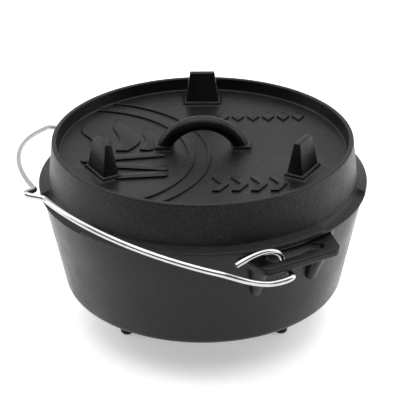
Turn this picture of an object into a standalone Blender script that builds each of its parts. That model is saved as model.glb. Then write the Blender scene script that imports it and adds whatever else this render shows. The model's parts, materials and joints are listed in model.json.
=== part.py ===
"""Camp dutch oven: a footed cast pot, a rimmed tray lid and a sprung wire bail.

The origin is the centre of the pot's flat underside and +Z is up. The two ears lie on the X axis
and the bail rests towards -Y. Sizes are in metres.
"""
import math

import bmesh
import bpy
from mathutils import Matrix, Vector

MM = 0.001
FIT_GAP = 0.3 * MM
STEPS = 64

# Pot: straight flared wall on a flat bottom.
BOTTOM_R = 119.4 * MM
WALL_RISE_R = 17.1 * MM
WALL_RISE_Z = 86.6 * MM
POT_RIM_Z = 91.0 * MM
CAST_T = 5.0 * MM
BOTTOM_FILLET = 7.0 * MM
FLOOR_FILLET = 12.0 * MM

# Three pot legs.
POT_LEG_AZIMUTHS = (30, 150, 270)
POT_LEG_RING_R = 77.0 * MM
POT_LEG_H = 38.0 * MM
POT_LEG_TOP_R = 9.0 * MM
POT_LEG_TIP_R = 5.6 * MM
POT_LEG_EDGE = 2.2 * MM
ROOT_DEPTH = 2.0 * MM

# Ears: a slotted trapezoid plate with two gussets each.
EAR_TOP_Z = 89.6 * MM
EAR_T = 6.5 * MM
EAR_OUT_X = 157.5 * MM
EAR_TIP_HALF = 35.5 * MM
EAR_NECK_X = 131.5 * MM
EAR_NECK_HALF = 42.5 * MM
EAR_ROOT_HALF = 52.0 * MM
EAR_ROOT_R = 134.0 * MM
EAR_CORNER_R = 9.0 * MM
EAR_NECK_R = 7.0 * MM
EAR_EDGE = 1.2 * MM
SLOT_IN_X = 138.8 * MM
SLOT_OUT_X = 149.2 * MM
SLOT_HALF = 25.5 * MM
SLOT_CUT_H = 60.0 * MM
GUSSET_AZIMUTH = 11.5
GUSSET_TOP_RING_R = 141.2 * MM
GUSSET_TIP_RING_R = 130.8 * MM
GUSSET_TOP_R = 8.4 * MM
GUSSET_TIP_R = 4.6 * MM
GUSSET_TIP_Z = 54.0 * MM

# Lid: rim, recessed plate, flared skirt and a flange that rests on the pot's rim.
RIM_TOP_Z = 132.6 * MM
RIM_OUT_R = 127.0 * MM
RIM_IN_R = 123.0 * MM
RIM_ROUND = 1.2 * MM
PLATE_TOP_Z = 121.6 * MM
PLATE_EDGE_R = 121.4 * MM
SKIRT_FOOT_R = 130.9 * MM
SKIRT_FOOT_Z = 98.4 * MM
FLANGE_R = 139.5 * MM
FLANGE_TOP_Z = 95.7 * MM
FLANGE_EDGE = 0.8 * MM
LID_SEAT_Z = POT_RIM_Z + FIT_GAP
RING_OUT_R = 130.0 * MM
RING_IN_R = 125.0 * MM
RING_Z = 87.5 * MM
LIP_Z = 93.3 * MM

# The flange is raised in three arcs and dips to a thin lip beside each lid leg.
LID_LEG_AZIMUTHS = (30, 150, 270)
GAP_HALF_ANGLE = 15.5
LID_LEG_RING_R = 94.0 * MM
LID_LEG_TOP_Z = 150.6 * MM
LID_LEG_BASE = (14.0 * MM, 29.0 * MM)
LID_LEG_TOP = (5.6 * MM, 21.5 * MM)
LID_LEG_EDGE = 1.1 * MM
PLINTH_OVER = 1.5 * MM
PLINTH_H = 2.6 * MM

# Arched bar handle on the lid.
HANDLE_AZIMUTH = 60
HANDLE_BAR_R = 6.3 * MM
HANDLE_SPAN = 33.0 * MM
HANDLE_CROWN_Z = 144.1 * MM
HANDLE_STEPS = 18
HANDLE_PAD_BASE = (16.5 * MM, 15.0 * MM)
HANDLE_PAD_TOP = (14.0 * MM, 12.5 * MM)
HANDLE_PAD_H = 3.4 * MM
HANDLE_TRIM = 120.0 * MM

# Bail: one bent wire, hooked through both ears.
WIRE_R = 2.5 * MM
AXIS_Y = -12.0 * MM
AXIS_Z = 79.5 * MM
BAIL_RISE = math.radians(15)
BAIL_ARC_R = 185.4 * MM
BAIL_ARC_BACK = 40.4 * MM
BAIL_ARM_X = 154.0 * MM
NOTCH_DEPTH = 16.0 * MM
NOTCH_HALF = 9.0 * MM

IRON = (0.045, 0.045, 0.047, 1.0)
STEEL = (0.72, 0.72, 0.73, 1.0)


def clear_scene():
    """Remove every object that is already in the scene."""
    for ob in list(bpy.data.objects):
        bpy.data.objects.remove(ob, do_unlink=True)


def collection(name):
    """Make a collection in the scene."""
    made = bpy.data.collections.new(name)
    bpy.context.scene.collection.children.link(made)
    return made


def material(name, colour, roughness, metallic):
    """Make a plain Principled material."""
    made = bpy.data.materials.new(name)
    made.use_nodes = True
    shader = made.node_tree.nodes["Principled BSDF"]
    shader.inputs["Base Color"].default_value = colour
    shader.inputs["Roughness"].default_value = roughness
    shader.inputs["Metallic"].default_value = metallic
    made.diffuse_color = colour
    return made


def polar(radius, degrees):
    """Give the X and Y of a point on a circle about Z."""
    turn = math.radians(degrees)
    return radius * math.cos(turn), radius * math.sin(turn)


def corner_arc(before, corner, after, radius, steps=4):
    """Round one corner of an outline with an arc tangent to both of its sides."""
    to_before = (before - corner).normalized()
    to_after = (after - corner).normalized()
    half = to_before.angle(to_after) / 2
    bisector = (to_before + to_after).normalized()
    centre = corner + bisector * radius / math.sin(half)
    start = corner + to_before * radius / math.tan(half) - centre
    end = corner + to_after * radius / math.tan(half) - centre
    sweep = start.angle_signed(end)
    return [centre + Matrix.Rotation(-sweep * i / steps, 2) @ start for i in range(steps + 1)]


def rounded(corners, closed=False):
    """Turn (x, y, radius) corners into an outline with arcs at the rounded ones."""
    points = [Vector(c[:2]) for c in corners]
    outline = []
    for i, (point, spec) in enumerate(zip(points, corners)):
        inner = closed or 0 < i < len(points) - 1
        if inner and spec[2] > 0:
            before = points[i - 1]
            after = points[(i + 1) % len(points)]
            outline += corner_arc(before, point, after, spec[2])
        else:
            outline.append(point)
    return outline


def mesh_object(name, mesh, where):
    """Make an object of a mesh in a collection."""
    made = bpy.data.objects.new(name, mesh)
    where.objects.link(made)
    return made


def baked(ob, name, where):
    """Replace an unplaced object by its evaluated mesh, with doubles merged."""
    bpy.context.view_layer.update()
    graph = bpy.context.evaluated_depsgraph_get()
    mesh = bpy.data.meshes.new_from_object(ob.evaluated_get(graph))
    bpy.data.objects.remove(ob, do_unlink=True)
    made = mesh_object(name, mesh, where)
    bm = bmesh.new()
    bm.from_mesh(mesh)
    bmesh.ops.remove_doubles(bm, verts=bm.verts, dist=0.00001)
    bmesh.ops.holes_fill(bm, edges=bm.edges, sides=0)
    bmesh.ops.recalc_face_normals(bm, faces=bm.faces)
    bm.to_mesh(mesh)
    bm.free()
    mesh.name = name
    return made


def turned(name, profile, where, sweep=360.0, steps=STEPS):
    """Turn an (r, z) profile about Z; a closed profile with a part sweep gets flat ends."""
    part_sweep = sweep < 360.0
    mesh = bpy.data.meshes.new(name)
    count = len(profile)
    edges = [(i, i + 1) for i in range(count - 1)]
    if part_sweep:
        edges.append((count - 1, 0))
    mesh.from_pydata([(r, 0, z) for r, z in profile], edges, [])
    ob = mesh_object(name, mesh, where)
    screw = ob.modifiers.new("turn", "SCREW")
    screw.angle = math.radians(sweep)
    screw.steps = steps
    screw.render_steps = steps
    screw.use_merge_vertices = True
    screw.merge_threshold = 0.00001
    return baked(ob, name, where)


def tube(name, points, radius, where, resolution=2):
    """Make a round bar along a list of points."""
    curve = bpy.data.curves.new(name, "CURVE")
    curve.dimensions = "3D"
    curve.bevel_depth = radius
    curve.bevel_resolution = resolution
    curve.use_fill_caps = True
    spline = curve.splines.new("POLY")
    spline.points.add(len(points) - 1)
    for slot, point in zip(spline.points, points):
        slot.co = (*point, 1.0)
    ob = bpy.data.objects.new(name, curve)
    where.objects.link(ob)
    return baked(ob, name, where)


def plate(name, outline, thickness, edge, where):
    """Make a flat plate with rounded edges from a 2D outline."""
    curve = bpy.data.curves.new(name, "CURVE")
    curve.dimensions = "2D"
    curve.fill_mode = "BOTH"
    curve.extrude = thickness / 2 - edge
    curve.bevel_depth = edge
    curve.bevel_resolution = 1
    curve.offset = -edge
    spline = curve.splines.new("POLY")
    spline.points.add(len(outline) - 1)
    for slot, point in zip(spline.points, outline):
        slot.co = (point[0], point[1], 0.0, 1.0)
    spline.use_cyclic_u = True
    ob = bpy.data.objects.new(name, curve)
    where.objects.link(ob)
    return baked(ob, name, where)


def combine(target, tool, operation, cutters):
    """Join or cut the target with the tool, apply it, and keep the tool as a hidden guide."""
    boolean = target.modifiers.new(operation.lower(), "BOOLEAN")
    boolean.operation = operation
    boolean.object = tool
    boolean.solver = "EXACT"
    bpy.context.view_layer.update()
    graph = bpy.context.evaluated_depsgraph_get()
    mesh = bpy.data.meshes.new_from_object(target.evaluated_get(graph))
    target.modifiers.clear()
    target.data = mesh
    for owner in list(tool.users_collection):
        owner.objects.unlink(tool)
    cutters.objects.link(tool)
    tool.hide_render = True
    tool.display_type = "WIRE"


def wall_r(z):
    """Give the pot's outer radius at a height."""
    return BOTTOM_R + WALL_RISE_R * z / WALL_RISE_Z


def pot_profile():
    """Section of the pot: inner floor, inner wall, rim, outer wall, underside."""
    inner_foot = wall_r(CAST_T) - CAST_T
    corners = [
        (0, CAST_T, 0),
        (inner_foot, CAST_T, FLOOR_FILLET),
        (wall_r(POT_RIM_Z) - CAST_T, POT_RIM_Z, 1.0 * MM),
        (wall_r(POT_RIM_Z), POT_RIM_Z, 1.0 * MM),
        (BOTTOM_R, 0, BOTTOM_FILLET),
        (0, 0, 0),
    ]
    return [tuple(p) for p in rounded(corners)]


def ear_outline(side):
    """Outline of one ear plate, for the +X or -X side, rooted inside the wall."""
    root = [polar(EAR_ROOT_R, a) for a in (20, 10, 0, -10, -20)]
    root_x = math.sqrt(EAR_ROOT_R ** 2 - EAR_ROOT_HALF ** 2)
    corners = [
        (root_x, -EAR_ROOT_HALF, 0),
        (EAR_NECK_X, -EAR_NECK_HALF, EAR_NECK_R),
        (EAR_OUT_X, -EAR_TIP_HALF, EAR_CORNER_R),
        (EAR_OUT_X, EAR_TIP_HALF, EAR_CORNER_R),
        (EAR_NECK_X, EAR_NECK_HALF, EAR_NECK_R),
        (root_x, EAR_ROOT_HALF, 0),
    ]
    outline = rounded(corners) + [Vector(p) for p in root]
    return [p * side for p in outline]


def slot_outline(side):
    """Outline of one ear's round-ended slot, for the +X or -X side."""
    slot_r = (SLOT_OUT_X - SLOT_IN_X) / 2 - 0.1 * MM
    outline = rounded([
        (SLOT_IN_X, -SLOT_HALF, slot_r),
        (SLOT_OUT_X, -SLOT_HALF, slot_r),
        (SLOT_OUT_X, SLOT_HALF, slot_r),
        (SLOT_IN_X, SLOT_HALF, slot_r),
    ], closed=True)
    return [p * side for p in outline]


def gusset(side, sign, where):
    """One tapered rib under an ear, round at its lower end."""
    length = EAR_TOP_Z - EAR_T / 2 - GUSSET_TIP_Z
    tip = [(GUSSET_TIP_R * math.sin(math.radians(a)), -GUSSET_TIP_R * math.cos(math.radians(a)))
           for a in (75, 50, 25, 0)]
    profile = [(0, length), (GUSSET_TOP_R, length)] + tip
    rib = turned("gusset", profile, where, steps=16)
    lean = math.atan2(GUSSET_TOP_RING_R - GUSSET_TIP_RING_R, length)
    azimuth = math.radians(GUSSET_AZIMUTH * sign + (0 if side > 0 else 180))
    place = Matrix.Translation((*polar(GUSSET_TIP_RING_R, math.degrees(azimuth)), GUSSET_TIP_Z))
    rib.matrix_world = place @ Matrix.Rotation(azimuth, 4, "Z") @ Matrix.Rotation(lean, 4, "Y")
    return rib


def pot_leg(azimuth, where):
    """One tapered round leg, rooted in the pot's bottom, with a flat tip."""
    corners = [
        (0, ROOT_DEPTH, 0),
        (POT_LEG_TOP_R, ROOT_DEPTH, 0),
        (POT_LEG_TIP_R, -POT_LEG_H, POT_LEG_EDGE),
        (0, -POT_LEG_H, 0),
    ]
    leg = turned("pot_leg", [tuple(p) for p in rounded(corners)], where, steps=24)
    leg.location = (*polar(POT_LEG_RING_R, azimuth), 0)
    return leg


def build_pot(parts, cutters):
    """Pot casting: vessel, two ears with gussets, three legs."""
    pot = turned("pot", pot_profile(), parts)
    for side in (1, -1):
        ear = plate("ear", ear_outline(side), EAR_T, EAR_EDGE, parts)
        ear.location.z = EAR_TOP_Z - EAR_T / 2
        combine(pot, ear, "UNION", cutters)
        for sign in (1, -1):
            combine(pot, gusset(side, sign, parts), "UNION", cutters)
        slot = plate("slot", slot_outline(side), SLOT_CUT_H, 0, parts)
        slot.location.z = EAR_TOP_Z - SLOT_CUT_H / 2 + EAR_T
        combine(pot, slot, "DIFFERENCE", cutters)
    for azimuth in POT_LEG_AZIMUTHS:
        combine(pot, pot_leg(azimuth, parts), "UNION", cutters)
    return pot


def lid_profile():
    """Section of the lid: plate, recess wall, rim, skirt, flange, locating ring, underside."""
    under_z = PLATE_TOP_Z - CAST_T
    corners = [
        (0, PLATE_TOP_Z, 0),
        (PLATE_EDGE_R, PLATE_TOP_Z, 1.5 * MM),
        (RIM_IN_R, RIM_TOP_Z, RIM_ROUND),
        (RIM_OUT_R, RIM_TOP_Z, RIM_ROUND),
        (SKIRT_FOOT_R, SKIRT_FOOT_Z, 0),
        (FLANGE_R, FLANGE_TOP_Z, FLANGE_EDGE),
        (FLANGE_R, LID_SEAT_Z, FLANGE_EDGE),
        (RING_OUT_R, LID_SEAT_Z, 0),
        (RING_OUT_R - 0.8 * MM, RING_Z, 0),
        (RING_IN_R, RING_Z, 0),
        (PLATE_EDGE_R - 1.0 * MM, under_z, 8.0 * MM),
        (0, under_z, 0),
    ]
    return [tuple(p) for p in rounded(corners)]


def flange_gap(azimuth, where):
    """Cutter that lowers the flange to its thin lip beside one lid leg."""
    profile = [
        (SKIRT_FOOT_R + 0.15 * MM, SKIRT_FOOT_Z - 0.05 * MM),
        (SKIRT_FOOT_R + 0.6 * MM, SKIRT_FOOT_Z - 2.0 * MM),
        (SKIRT_FOOT_R + 2.6 * MM, LIP_Z + 1.3 * MM),
        (SKIRT_FOOT_R + 5.6 * MM, LIP_Z + 0.3 * MM),
        (FLANGE_R + 5.0 * MM, LIP_Z),
        (FLANGE_R + 5.0 * MM, SKIRT_FOOT_Z + 5.0 * MM),
    ]
    sweep = 2 * GAP_HALF_ANGLE
    cutter = turned("flange_gap", profile, where, sweep=sweep, steps=6)
    cutter.rotation_euler.z = math.radians(azimuth - GAP_HALF_ANGLE)
    return cutter


def wedge(name, base, top, low, high, edge, where):
    """Make a tapered block between two heights with bevelled edges."""
    bm = bmesh.new()
    bmesh.ops.create_cube(bm, size=1.0)
    for vert in bm.verts:
        size = top if vert.co.z > 0 else base
        vert.co = (vert.co.x * size[0], vert.co.y * size[1], high if vert.co.z > 0 else low)
    mesh = bpy.data.meshes.new(name)
    bm.to_mesh(mesh)
    bm.free()
    ob = mesh_object(name, mesh, where)
    bevel = ob.modifiers.new("edge", "BEVEL")
    bevel.width = edge
    bevel.segments = 2
    return baked(ob, name, where)


def lid_leg(azimuth, where, cutters):
    """One flat-topped wedge leg on a low plinth."""
    low = PLATE_TOP_Z - ROOT_DEPTH
    leg = wedge("lid_leg", LID_LEG_BASE, LID_LEG_TOP, low, LID_LEG_TOP_Z, LID_LEG_EDGE, where)
    wide = [side + 2 * PLINTH_OVER for side in LID_LEG_BASE]
    plinth = wedge("plinth", [side + PLINTH_OVER for side in wide], LID_LEG_BASE,
                   low - 0.5 * MM, PLATE_TOP_Z + PLINTH_H, 0.6 * MM, where)
    combine(leg, plinth, "UNION", cutters)
    turn = Matrix.Rotation(math.radians(azimuth), 4, "Z")
    leg.matrix_world = turn @ Matrix.Translation((LID_LEG_RING_R, 0, 0))
    return leg


def handle_route():
    """Centre line of the lid's bar handle: one arc along azimuth zero, rooted in the plate."""
    rise = HANDLE_CROWN_Z - PLATE_TOP_Z
    arc_r = (HANDLE_SPAN ** 2 + rise ** 2) / (2 * rise)
    centre_z = HANDLE_CROWN_Z - arc_r
    start = math.asin((PLATE_TOP_Z - ROOT_DEPTH - centre_z) / arc_r)
    route = []
    for i in range(HANDLE_STEPS + 1):
        turn = start + (math.pi - 2 * start) * i / HANDLE_STEPS
        route.append((arc_r * math.cos(turn), 0, centre_z + arc_r * math.sin(turn)))
    return route


def build_handle(parts, cutters):
    """Bar handle with a low pad under each foot, ending flush on the plate that it is cast on."""
    handle = tube("lid_handle", handle_route(), HANDLE_BAR_R, parts, resolution=3)
    for side in (1, -1):
        pad = wedge("handle_pad", HANDLE_PAD_BASE, HANDLE_PAD_TOP, PLATE_TOP_Z - ROOT_DEPTH - 0.5 * MM,
                    PLATE_TOP_Z + HANDLE_PAD_H, 1.2 * MM, parts)
        pad.location.x = HANDLE_SPAN * side
        combine(handle, pad, "UNION", cutters)
    block = (HANDLE_TRIM, HANDLE_TRIM)
    under = wedge("under_handle", block, block, PLATE_TOP_Z - 4 * ROOT_DEPTH, PLATE_TOP_Z, 0.2 * MM, parts)
    combine(handle, under, "DIFFERENCE", cutters)
    handle.rotation_euler.z = math.radians(HANDLE_AZIMUTH)
    return handle


def build_lid(parts, cutters):
    """Lid casting: rimmed plate, skirt, stepped flange and three legs."""
    lid = turned("lid", lid_profile(), parts)
    for azimuth in LID_LEG_AZIMUTHS:
        combine(lid, flange_gap(azimuth, parts), "DIFFERENCE", cutters)
    for azimuth in LID_LEG_AZIMUTHS:
        combine(lid, lid_leg(azimuth, parts, cutters), "UNION", cutters)
    return lid


def smooth_route(points, per_span):
    """Pass a Catmull-Rom curve through a list of points."""
    ends = [points[0] * 2 - points[1]] + points + [points[-1] * 2 - points[-2]]
    route = []
    for i in range(1, len(ends) - 2):
        a, b, c, d = ends[i - 1:i + 3]
        for step in range(per_span):
            t = step / per_span
            route.append(0.5 * (2 * b + (c - a) * t + (2 * a - 5 * b + 4 * c - d) * t ** 2
                                + (3 * b - a - 3 * c + d) * t ** 3))
    return route + [points[-1]]


def hook_route():
    """One hook from its free end to the arm: x, then Y and Z from the hinge axis."""
    chosen = [
        (145.4, -43.5, 14.6), (145.0, -32.5, 17.3), (144.4, -21.0, 18.4), (144.0, -10.5, 17.2),
        (143.7, -3.6, 13.3), (143.7, -0.6, 8.4), (144.1, 0.0, 4.2), (145.8, 0.0, 1.2),
        (149.2, 0.0, 0.0), (153.4, 0.0, 0.0), (157.6, 0.0, 0.0), (160.9, -1.4, 0.0),
        (162.2, -5.0, -0.2), (162.4, -12.0, -0.4), (162.1, -22.0, 0.6), (161.5, -34.0, 4.4),
        (160.0, -46.0, 9.8),
    ]
    return smooth_route([Vector(p) * MM for p in chosen], 2)


def bail_points():
    """Centre line of the whole bail in its rest pose."""
    reach = math.sqrt(BAIL_ARC_R ** 2 - BAIL_ARM_X ** 2) - BAIL_ARC_BACK
    start = math.atan2(reach + BAIL_ARC_BACK, BAIL_ARM_X)
    stop = math.acos((NOTCH_HALF + 5.0 * MM) / BAIL_ARC_R)
    arc = []
    for i in range(17):
        turn = start + (stop - start) * i / 16
        arc.append((BAIL_ARC_R * math.cos(turn), BAIL_ARC_R * math.sin(turn) - BAIL_ARC_BACK))
    crown = BAIL_ARC_R - BAIL_ARC_BACK
    notch = rounded([
        (NOTCH_HALF + 5.0 * MM, crown - 0.6 * MM, 0),
        (NOTCH_HALF, crown - 0.6 * MM, 4.0 * MM),
        (0, crown + NOTCH_DEPTH, 4.0 * MM),
        (-NOTCH_HALF, crown - 0.6 * MM, 0),
    ])
    tip = max(p[1] for p in notch)
    notch = [p for p in notch if p[0] > 0.01 * MM][1:] + [Vector((0, tip))]
    half = [Vector((x, -r * math.cos(BAIL_RISE), r * math.sin(BAIL_RISE)))
            for x, r in arc + [tuple(p) for p in notch]]
    one_side = hook_route() + half
    other_side = [Vector((-p.x, p.y, p.z)) for p in reversed(one_side[:-1])]
    return [(p.x, p.y + AXIS_Y, p.z + AXIS_Z) for p in one_side + other_side]


def build_bail(parts):
    """Bail: one round wire with a hook at each end and a notch at the middle."""
    return tube("bail", bail_points(), WIRE_R, parts)


def dress(ob, finish):
    """Give a finished piece its material and smooth shading with sharp edges kept."""
    ob.data.materials.clear()
    ob.data.materials.append(finish)
    ob.data.shade_smooth()
    ob.data.set_sharp_from_angle(angle=math.radians(35))


def set_origin(ob, point):
    """Move an object's origin to a point and leave its shape in place."""
    ob.data.transform(Matrix.Translation(-Vector(point)))
    ob.location = Vector(point)


def main():
    """Build the three castings and wire, and place each moving piece's origin on its joint."""
    clear_scene()
    parts = collection("dutch_oven")
    cutters = collection("cutters")
    iron = material("cast_iron", IRON, 0.62, 0.35)
    steel = material("bail_wire", STEEL, 0.22, 1.0)
    pot = build_pot(parts, cutters)
    lid = build_lid(parts, cutters)
    handle = build_handle(parts, cutters)
    bail = build_bail(parts)
    for ob in (pot, lid, handle):
        dress(ob, iron)
    dress(bail, steel)
    set_origin(lid, (0, 0, LID_SEAT_Z))
    set_origin(bail, (0, AXIS_Y, AXIS_Z))
    handle.parent = lid
    handle.location.z = -LID_SEAT_Z


main()
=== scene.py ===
"""Camp dutch oven, as it looks: fine castings, relief, seasoned iron and bright wire on a pale floor.

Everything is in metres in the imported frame: +Z up, the ears on the X axis, the bail resting
towards -Y, and the origin at the centre of the pot's underside.
"""
import json
import logging
import math
from contextlib import contextmanager
from dataclasses import dataclass
from enum import Enum
from typing import Callable, Iterator, Sequence

import bmesh
import bpy
from mathutils import Matrix, Vector


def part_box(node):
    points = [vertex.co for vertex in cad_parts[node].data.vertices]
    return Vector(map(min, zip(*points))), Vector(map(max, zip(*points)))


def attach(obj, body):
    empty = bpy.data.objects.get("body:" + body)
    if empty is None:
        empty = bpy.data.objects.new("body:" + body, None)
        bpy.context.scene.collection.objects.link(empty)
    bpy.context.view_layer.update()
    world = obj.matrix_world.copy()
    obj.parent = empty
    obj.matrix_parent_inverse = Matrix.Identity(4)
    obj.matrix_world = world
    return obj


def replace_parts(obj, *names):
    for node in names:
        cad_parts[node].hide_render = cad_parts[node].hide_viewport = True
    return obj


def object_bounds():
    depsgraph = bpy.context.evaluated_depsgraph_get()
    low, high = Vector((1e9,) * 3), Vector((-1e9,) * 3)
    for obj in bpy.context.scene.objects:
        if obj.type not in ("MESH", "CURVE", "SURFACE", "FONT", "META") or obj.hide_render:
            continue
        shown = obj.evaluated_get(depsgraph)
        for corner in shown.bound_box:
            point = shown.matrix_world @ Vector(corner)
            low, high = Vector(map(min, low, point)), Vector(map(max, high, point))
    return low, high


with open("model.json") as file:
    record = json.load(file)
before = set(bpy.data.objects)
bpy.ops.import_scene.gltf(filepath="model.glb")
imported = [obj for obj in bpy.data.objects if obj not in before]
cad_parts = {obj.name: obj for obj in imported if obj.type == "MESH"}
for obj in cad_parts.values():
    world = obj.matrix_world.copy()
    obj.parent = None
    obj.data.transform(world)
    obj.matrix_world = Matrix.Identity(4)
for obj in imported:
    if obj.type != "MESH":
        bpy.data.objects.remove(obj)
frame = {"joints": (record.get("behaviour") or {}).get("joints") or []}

CAD_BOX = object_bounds()
LOG = logging.getLogger("dutch_oven")
MM = 0.001
WELD = 0.00001           # points closer than this are one point
TINY = 0.01 * MM         # a length below this counts as none
POT_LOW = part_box("pot")[0]
LID_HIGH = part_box("lid")[1]
BAIL_AXIS = Vector(next(j for j in frame["joints"] if j["name"] == "bail_swing")["pos_m"])

Point2 = tuple[float, float]
Corner = tuple[float, float, float]
Colour = tuple[float, float, float]
ColourStop = tuple[float, Colour]
SoftBox = tuple[str, float, float, float, Point2, float]


class Body(str, Enum):
    """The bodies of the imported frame."""

    POT = "pot"
    LID = "lid"
    BAIL = "bail"


class Join(str, Enum):
    """How a tool solid changes its target."""

    UNION = "UNION"
    CUT = "DIFFERENCE"
    KEEP_COMMON = "INTERSECT"


# ---------------------------------------------------------------- modelling tools


def deselect_all() -> None:
    """Leave edit mode and select nothing."""
    if bpy.context.object and bpy.context.object.mode != "OBJECT":
        bpy.ops.object.mode_set(mode="OBJECT")
    bpy.ops.object.select_all(action="DESELECT")


def activate(ob: bpy.types.Object) -> None:
    """Select one object alone and make it active."""
    deselect_all()
    ob.select_set(True)
    bpy.context.view_layer.objects.active = ob


@contextmanager
def editing(ob: bpy.types.Object) -> Iterator[None]:
    """Hold an object in edit mode with nothing selected.

    Args:
        ob: The mesh object to edit.
    """
    activate(ob)
    bpy.ops.object.mode_set(mode="EDIT")
    bpy.ops.mesh.select_mode(type="VERT")
    bpy.ops.mesh.select_all(action="DESELECT")
    yield
    bpy.ops.object.mode_set(mode="OBJECT")


def select_faces(ob: bpy.types.Object, wanted: Callable[[bmesh.types.BMFace], bool]) -> None:
    """Select the faces that a test picks, in edit mode.

    Args:
        ob: The object in edit mode.
        wanted: The test for each face.
    """
    bm = bmesh.from_edit_mesh(ob.data)
    bpy.ops.mesh.select_mode(type="FACE")
    for face in bm.faces:
        face.select_set(wanted(face))
    bm.select_flush_mode()
    bmesh.update_edit_mesh(ob.data)


def select_edges(ob: bpy.types.Object, wanted: Callable[[bmesh.types.BMEdge], bool]) -> None:
    """Select the edges that a test picks, in edit mode.

    Args:
        ob: The object in edit mode.
        wanted: The test for each edge.
    """
    bpy.ops.mesh.select_mode(type="EDGE")
    bm = bmesh.from_edit_mesh(ob.data)
    for edge in bm.edges:
        edge.select_set(wanted(edge))
    bm.select_flush_mode()
    bmesh.update_edit_mesh(ob.data)


def corner_arc(before: Vector, corner: Vector, after: Vector, radius: float, steps: int) -> list[Vector]:
    """Round one corner with an arc that is tangent to both sides.

    Args:
        before: The outline's point before the corner.
        corner: The sharp corner.
        after: The outline's point after the corner.
        radius: The arc's radius.
        steps: The number of chords in the arc.

    Returns:
        The arc's points, in order.
    """
    to_before = (before - corner).normalized()
    to_after = (after - corner).normalized()
    half = to_before.angle(to_after) / 2
    centre = corner + (to_before + to_after).normalized() * radius / math.sin(half)
    start = corner + to_before * radius / math.tan(half) - centre
    sweep = start.angle_signed(corner + to_after * radius / math.tan(half) - centre)
    return [centre + Matrix.Rotation(-sweep * i / steps, 2) @ start for i in range(steps + 1)]


def rounded(corners: Sequence[Corner], closed: bool = False, steps: int = 6) -> list[Vector]:
    """Turn (x, y, radius) corners into an outline with arcs.

    Args:
        corners: Each corner's place and radius; radius 0 keeps it sharp.
        closed: Whether the outline returns to its start.
        steps: The number of chords in each arc.

    Returns:
        The outline's points.
    """
    points = [Vector(c[:2]) for c in corners]
    outline: list[Vector] = []
    for i, (point, spec) in enumerate(zip(points, corners)):
        if spec[2] > 0 and (closed or 0 < i < len(points) - 1):
            after = points[(i + 1) % len(points)]
            outline += corner_arc(points[i - 1], point, after, spec[2], steps)
        else:
            outline.append(point)
    return outline


def place(ob: bpy.types.Object, matrix: Matrix) -> bpy.types.Object:
    """Move a finished mesh by a matrix and leave its object at the origin.

    Args:
        ob: The mesh object.
        matrix: The turn and move to bake into its mesh.

    Returns:
        The same object.
    """
    ob.data.transform(matrix @ ob.matrix_world)
    ob.matrix_world = Matrix.Identity(4)
    return ob


def draw_line(name: str, points: Sequence[Vector]) -> bpy.types.Object:
    """Draw a chain of edges by extruding one vertex from point to point.

    Args:
        name: The object's name.
        points: The chain's points in 3D.

    Returns:
        The wire mesh object, at the origin.
    """
    deselect_all()
    bpy.ops.mesh.primitive_plane_add(size=MM, location=points[0])
    ob = bpy.context.object
    ob.name = name
    bpy.ops.object.mode_set(mode="EDIT")
    bpy.ops.mesh.select_mode(type="VERT")
    bpy.ops.mesh.select_all(action="SELECT")
    bpy.ops.mesh.merge(type="CENTER")
    for here, there in zip(points, points[1:]):
        move = {"value": tuple(there - here)}
        bpy.ops.mesh.extrude_region_move(TRANSFORM_OT_translate=move)
    bpy.ops.object.mode_set(mode="OBJECT")
    return place(ob, Matrix.Identity(4))


def turn_profile(name: str, profile: Sequence[Point2], steps: int) -> bpy.types.Object:
    """Spin an (r, z) profile about Z into a closed body.

    Args:
        name: The object's name.
        profile: The section, from one point on the axis to another.
        steps: The number of sides.

    Returns:
        The turned body with its faces pointing out.
    """
    ob = draw_line(name, [Vector((r, 0, z)) for r, z in profile])
    with editing(ob):
        bpy.ops.mesh.select_all(action="SELECT")
        bpy.ops.mesh.spin(steps=steps, angle=math.tau, center=(0, 0, 0), axis=(0, 0, 1))
        bpy.ops.mesh.select_all(action="SELECT")
        bpy.ops.mesh.remove_doubles(threshold=WELD)
        bpy.ops.mesh.normals_make_consistent(inside=False)
    return ob


def raise_outline(name: str, outline: Sequence[Vector], low: float, high: float, edge: float,
                  segments: int = 2, soften_low: bool = True) -> bpy.types.Object:
    """Fill an outline, extrude it and bevel its rims.

    Args:
        name: The object's name.
        outline: The flat outline.
        low: The lower face's height.
        high: The upper face's height.
        edge: The rim bevel's width; 0 leaves it sharp.
        segments: The bevel's segments.
        soften_low: Whether the lower rim is bevelled too.

    Returns:
        The closed plate.
    """
    deselect_all()
    bpy.ops.mesh.primitive_circle_add(vertices=len(outline), radius=1.0, fill_type="NGON")
    ob = bpy.context.object
    ob.name = name
    for vert, point in zip(ob.data.vertices, outline):
        vert.co = (point[0], point[1], low)
    with editing(ob):
        bpy.ops.mesh.select_all(action="SELECT")
        bpy.ops.mesh.extrude_region_move(TRANSFORM_OT_translate={"value": (0, 0, high - low)})
        bpy.ops.mesh.select_all(action="SELECT")
        bpy.ops.mesh.normals_make_consistent(inside=False)
        if edge > 0:
            def on_rim(e: bmesh.types.BMEdge) -> bool:
                flat = abs(e.verts[0].co.z - e.verts[1].co.z) < TINY
                return flat and (soften_low or e.verts[0].co.z > (low + high) / 2)

            select_edges(ob, on_rim)
            bpy.ops.mesh.bevel(offset=edge, segments=segments, affect="EDGES")
    return ob


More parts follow.
